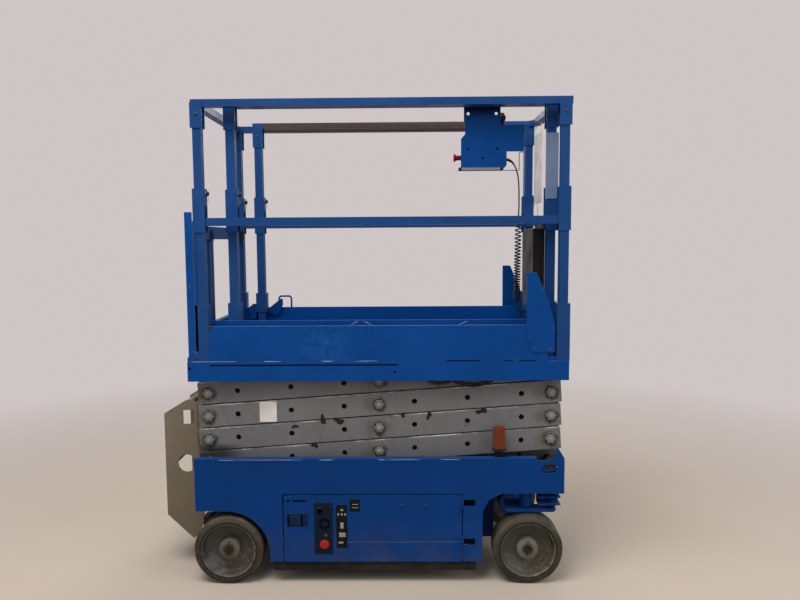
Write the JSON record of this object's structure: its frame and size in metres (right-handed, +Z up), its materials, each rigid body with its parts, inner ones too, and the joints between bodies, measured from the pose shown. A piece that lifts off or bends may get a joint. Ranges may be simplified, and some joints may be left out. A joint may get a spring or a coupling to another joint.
{
  "type": "scissor lift",
  "caption": "Slab scissor lift: box chassis on solid tyres, stacked crossing arms, railed platform with roll-out deck, entry gate, rear ladder and corded control box.",
  "frame": {"origin": "on the floor, midway between the ladder's rear face and the platform rails' front end, on the middle plane", "axes": "+X towards the steering wheels and the roll-out end, +Y towards the far side, +Z up"},
  "size_m": [1.82, 0.76, 2.109],
  "materials": {
    "blue_paint": "semi-gloss paint, worn",
    "arm_grey": "satin paint with chips",
    "galvanised": "galvanised sheet",
    "tyre": "scuffed solid rubber",
    "wheel_steel": "dusty paint",
    "steel": "dull steel",
    "chrome_rod": "polished",
    "black_plastic": "matte",
    "dark_panel": "satin",
    "red_plastic": "gloss",
    "amber": "dusty gloss",
    "white_board": "matte",
    "faded_plate": "faded paint",
    "cord_rubber": "matte",
    "black_paint": "satin paint"
  },
  "bodies": {
    "chassis": {"chassis_frame": "blue_paint", "lower_tracks": "blue_paint", "ladder": "galvanised", "beacons": "amber"},
    "tray_near": {"tray_door_near": "blue_paint", "power_unit": "black_paint", "ground_panel": "dark_panel", "ground_stop": "red_plastic"},
    "tray_far": {"tray_door_far": "blue_paint", "battery_pack": "black_plastic"},
    "pothole_guard_near": {"guard_near": "blue_paint"},
    "pothole_guard_far": {"guard_far": "blue_paint"},
    "steering_yoke_near": {"yoke_near": "blue_paint"},
    "steering_yoke_far": {"yoke_far": "blue_paint"},
    "steering_rod": {"tie_rod": "steel"},
    "wheel_rear_near": {"tyre_rear_near": "tyre", "hub_rear_near": "wheel_steel"},
    "wheel_rear_far": {"tyre_rear_far": "tyre", "hub_rear_far": "wheel_steel"},
    "wheel_front_near": {"tyre_front_near": "tyre", "hub_front_near": "wheel_steel"},
    "wheel_front_far": {"tyre_front_far": "tyre", "hub_front_far": "wheel_steel"},
    "outer_arms_1_body": {"outer_arms_1": "arm_grey"},
    "inner_arms_1_body": {"inner_arms_1": "arm_grey", "lower_rollers": "steel"},
    "outer_arms_2_body": {"outer_arms_2": "arm_grey"},
    "inner_arms_2_body": {"inner_arms_2": "arm_grey"},
    "outer_arms_3_body": {"outer_arms_3": "arm_grey"},
    "inner_arms_3_body": {"inner_arms_3": "arm_grey"},
    "outer_arms_4_body": {"outer_arms_4": "arm_grey", "upper_rollers": "steel"},
    "inner_arms_4_body": {"inner_arms_4": "arm_grey"},
    "barrel": {"lift_barrel": "black_paint"},
    "rod": {"lift_rod": "chrome_rod"},
    "platform": {"platform_frame": "blue_paint", "toe_boards": "blue_paint", "main_lower_rails": "blue_paint", "gussets": "blue_paint", "main_lock_pins": "steel"},
    "rear_posts": {"main_rear_posts": "blue_paint"},
    "front_post_near": {"main_front_post_near": "blue_paint"},
    "front_post_far": {"main_front_post_far": "blue_paint"},
    "top_rail": {"main_top_rail": "blue_paint"},
    "gate": {"entry_gate": "blue_paint"},
    "rollout": {"rollout_deck": "blue_paint", "deck_latch": "black_paint", "rollout_rails": "blue_paint", "sign_board": "white_board", "post_plate": "faded_plate", "manual_box": "black_plastic", "rollout_lock_pins": "steel", "control_box": "blue_paint", "control_box_foot": "galvanised", "control_stop": "red_plastic", "control_stick": "black_plastic", "cord_upper": "cord_rubber", "cord_coil": "cord_rubber", "cord_lower": "cord_rubber", "cord_socket": "black_plastic"}
  },
  "joints": [
    {"name": "lift", "type": "hinge", "parent": "chassis", "child": "outer_arms_1_body", "pos_m": [-0.663, 0, 0.535], "axis": [0, -1, 0], "range_deg": [0, 56]},
    {"name": "centre_pins_1", "type": "hinge", "parent": "outer_arms_1_body", "child": "inner_arms_1_body", "pos_m": [0.0895, 0, 0.58715], "axis": [0, 1, 0], "range_deg": [0, 112]},
    {"name": "rear_pins_1", "type": "hinge", "parent": "inner_arms_1_body", "child": "outer_arms_2_body", "pos_m": [-0.663, 0, 0.6393], "axis": [0, -1, 0], "range_deg": [0, 112]},
    {"name": "centre_pins_2", "type": "hinge", "parent": "outer_arms_2_body", "child": "inner_arms_2_body", "pos_m": [0.0895, 0, 0.69145], "axis": [0, 1, 0], "range_deg": [0, 112]},
    {"name": "rear_pins_2", "type": "hinge", "parent": "inner_arms_2_body", "child": "outer_arms_3_body", "pos_m": [-0.663, 0, 0.7436], "axis": [0, -1, 0], "range_deg": [0, 112]},
    {"name": "centre_pins_3", "type": "hinge", "parent": "outer_arms_3_body", "child": "inner_arms_3_body", "pos_m": [0.0895, 0, 0.79575], "axis": [0, 1, 0], "range_deg": [0, 112]},
    {"name": "rear_pins_3", "type": "hinge", "parent": "inner_arms_3_body", "child": "outer_arms_4_body", "pos_m": [-0.663, 0, 0.8479], "axis": [0, -1, 0], "range_deg": [0, 112]},
    {"name": "centre_pins_4", "type": "hinge", "parent": "outer_arms_4_body", "child": "inner_arms_4_body", "pos_m": [0.0895, 0, 0.90005], "axis": [0, 1, 0], "range_deg": [0, 112]},
    {"name": "platform_pins", "type": "hinge", "parent": "inner_arms_4_body", "child": "platform", "pos_m": [-0.663, 0, 0.9522], "axis": [0, -1, 0], "range_deg": [0, 56]},
    {"name": "barrel_pin", "type": "hinge", "parent": "inner_arms_1_body", "child": "barrel", "pos_m": [-0.5548, 0, 0.69195], "axis": [0, -1, 0], "range_deg": [0, 131.91]},
    {"name": "rod_slide", "type": "slide", "parent": "barrel", "child": "rod", "axis": [1, 0, 0.0013], "range_m": [0, 0.6477]},
    {"name": "deck_rollout", "type": "slide", "parent": "platform", "child": "rollout", "axis": [1, 0, 0], "range_m": [0, 0.9]},
    {"name": "gate_hinge", "type": "hinge", "parent": "platform", "child": "gate", "pos_m": [-0.647, -0.236, 1.3], "axis": [0, 0, -1], "range_deg": [0, 90]},
    {"name": "rail_fold", "type": "hinge", "parent": "platform", "child": "rear_posts", "pos_m": [-0.665, 0, 1.645], "axis": [0, -1, 0], "range_deg": [0, 80]},
    {"name": "front_fold_near", "type": "hinge", "parent": "platform", "child": "front_post_near", "pos_m": [0.881, -0.35, 1.645], "axis": [0, -1, 0], "range_deg": [0, 80]},
    {"name": "front_fold_far", "type": "hinge", "parent": "platform", "child": "front_post_far", "pos_m": [0.845, 0.35, 1.645], "axis": [0, -1, 0], "range_deg": [0, 80]},
    {"name": "top_fold", "type": "hinge", "parent": "rear_posts", "child": "top_rail", "pos_m": [-0.665, 0, 2.045], "axis": [0, 1, 0], "range_deg": [0, 80]},
    {"name": "steer_near", "type": "hinge", "parent": "chassis", "child": "steering_yoke_near", "pos_m": [0.74, -0.3, 0.3], "axis": [0, 0, 1], "range_deg": [-65, 65]},
    {"name": "steer_far", "type": "hinge", "parent": "chassis", "child": "steering_yoke_far", "pos_m": [0.74, 0.3, 0.3], "axis": [0, 0, 1], "range_deg": [-65, 65]},
    {"name": "rod_end_near", "type": "hinge", "parent": "steering_yoke_near", "child": "steering_rod", "pos_m": [0.856, -0.3, 0.334], "axis": [0, 0, -1], "range_deg": [-65, 65]},
    {"name": "rear_wheel_near", "type": "hinge", "parent": "chassis", "child": "wheel_rear_near", "pos_m": [-0.58, -0.323, 0.1525], "axis": [0, 1, 0], "continuous": true},
    {"name": "front_wheel_near", "type": "hinge", "parent": "steering_yoke_near", "child": "wheel_front_near", "pos_m": [0.74, -0.323, 0.1525], "axis": [0, 1, 0], "continuous": true},
    {"name": "rear_wheel_far", "type": "hinge", "parent": "chassis", "child": "wheel_rear_far", "pos_m": [-0.58, 0.323, 0.1525], "axis": [0, 1, 0], "continuous": true},
    {"name": "front_wheel_far", "type": "hinge", "parent": "steering_yoke_far", "child": "wheel_front_far", "pos_m": [0.74, 0.323, 0.1525], "axis": [0, 1, 0], "continuous": true},
    {"name": "tray_hinge_near", "type": "hinge", "parent": "chassis", "child": "tray_near", "pos_m": [0.4515, -0.374, 0.277], "axis": [0, 0, 1], "range_deg": [0, 90]},
    {"name": "tray_hinge_far", "type": "hinge", "parent": "chassis", "child": "tray_far", "pos_m": [0.4515, 0.374, 0.277], "axis": [0, 0, -1], "range_deg": [0, 90]},
    {"name": "guard_drop_near", "type": "slide", "parent": "chassis", "child": "pothole_guard_near", "axis": [0, 0, -1], "range_m": [0, 0.04]},
    {"name": "guard_drop_far", "type": "slide", "parent": "chassis", "child": "pothole_guard_far", "axis": [0, 0, -1], "range_m": [0, 0.04]}
  ],
  "couplings": [
    {"joint": "centre_pins_1", "follows": "lift", "ratio": 2},
    {"joint": "rear_pins_1", "follows": "lift", "ratio": 2},
    {"joint": "centre_pins_2", "follows": "lift", "ratio": 2},
    {"joint": "rear_pins_2", "follows": "lift", "ratio": 2},
    {"joint": "centre_pins_3", "follows": "lift", "ratio": 2},
    {"joint": "rear_pins_3", "follows": "lift", "ratio": 2},
    {"joint": "centre_pins_4", "follows": "lift", "ratio": 2},
    {"joint": "platform_pins", "follows": "lift", "ratio": 1},
    {"joint": "barrel_pin", "follows": "lift", "ratio": 2.3553},
    {"joint": "rod_slide", "follows": "lift", "m_per_rad": 0.66258},
    {"joint": "front_fold_near", "follows": "rail_fold", "ratio": 1},
    {"joint": "front_fold_far", "follows": "rail_fold", "ratio": 1},
    {"joint": "top_fold", "follows": "rail_fold", "ratio": 1},
    {"joint": "steer_far", "follows": "steer_near", "ratio": 1},
    {"joint": "rod_end_near", "follows": "steer_near", "ratio": 1}
  ]
}
